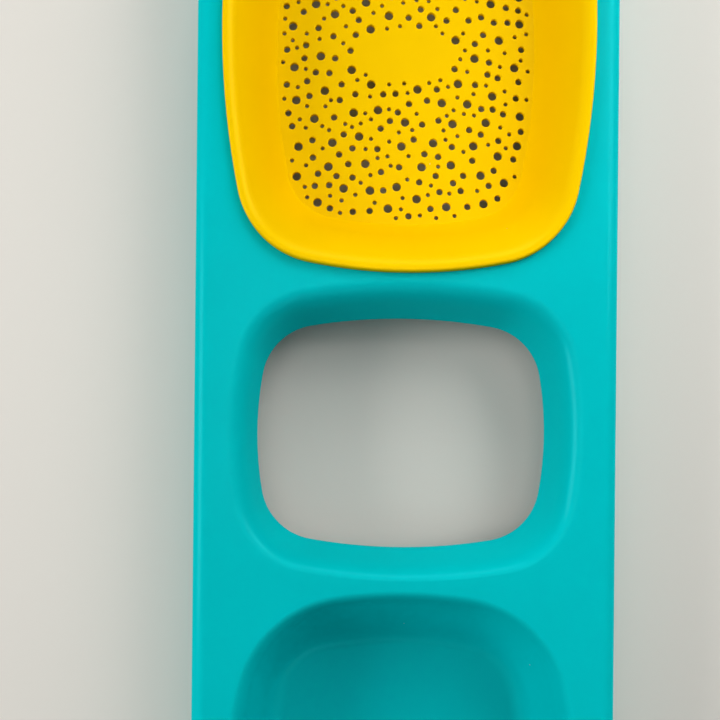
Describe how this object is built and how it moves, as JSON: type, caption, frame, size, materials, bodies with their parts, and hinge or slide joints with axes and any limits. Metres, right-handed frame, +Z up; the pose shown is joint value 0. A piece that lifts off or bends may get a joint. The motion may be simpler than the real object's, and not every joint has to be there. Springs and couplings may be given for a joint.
{
  "type": "sand sieve",
  "caption": "Long open-bottomed sand toy board with a hand hole, a closed basin and a lift-out sieve pan with a pierced floor.",
  "frame": {"origin": "under the middle of the hand hole, on the surface that the board rests on", "axes": "+Y along the board towards the sieve, +X across it, +Z up"},
  "size_m": [0.146, 0.472, 0.045],
  "materials": {
    "board_plastic": "satin",
    "sieve_plastic": "satin"
  },
  "bodies": {
    "carrier": {"carrier_board": "board_plastic"},
    "sieve": {"sieve_pan": "sieve_plastic", "sieve_screen": "sieve_plastic"}
  },
  "joints": [
    {"name": "sieve_lift", "type": "slide", "parent": "carrier", "child": "sieve", "axis": [0, 0, 1], "range_m": [0, 0.06]}
  ]
}
